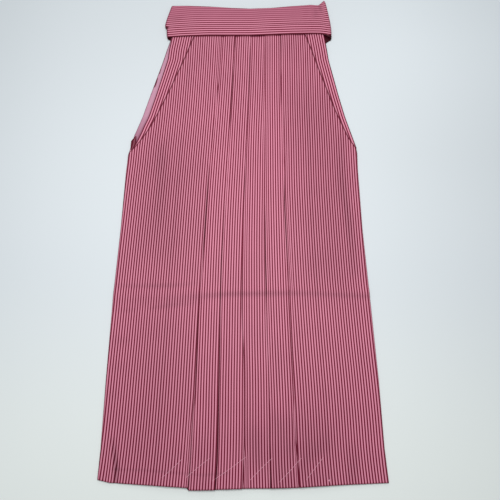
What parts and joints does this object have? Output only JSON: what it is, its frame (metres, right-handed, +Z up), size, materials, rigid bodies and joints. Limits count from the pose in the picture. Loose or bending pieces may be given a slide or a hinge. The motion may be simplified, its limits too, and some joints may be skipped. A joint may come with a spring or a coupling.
{
  "type": "striped skirt-type hakama laid flat",
  "caption": "Pleated hakama skirt laid flat, front up, with slanting side openings, folded side strips and a wide belt turned behind the waist.",
  "frame": {"origin": "middle of the garment's bounding box, on the surface it lies on", "axes": "+Y along the garment from hem to waist, +X to the viewer's right with the front up, +Z up out of the front"},
  "size_m": [0.4884, 1.007, 0.0083],
  "materials": {
    "striped_cloth": "smooth woven cloth with a faint sheen, in narrow stripes of light and dark rose",
    "belt_cloth": "the same striped cloth, doubled, with its stripes along the belt",
    "facing_cloth": "plain matt lilac cloth"
  },
  "bodies": {
    "root": {"back_panel": "striped_cloth", "front_panel": "striped_cloth", "side_strip_left": "striped_cloth", "side_strip_right": "striped_cloth", "opening_facing_left": "facing_cloth", "opening_end_left": "striped_cloth", "back_belt": "belt_cloth", "front_belt": "belt_cloth"}
  },
  "joints": []
}
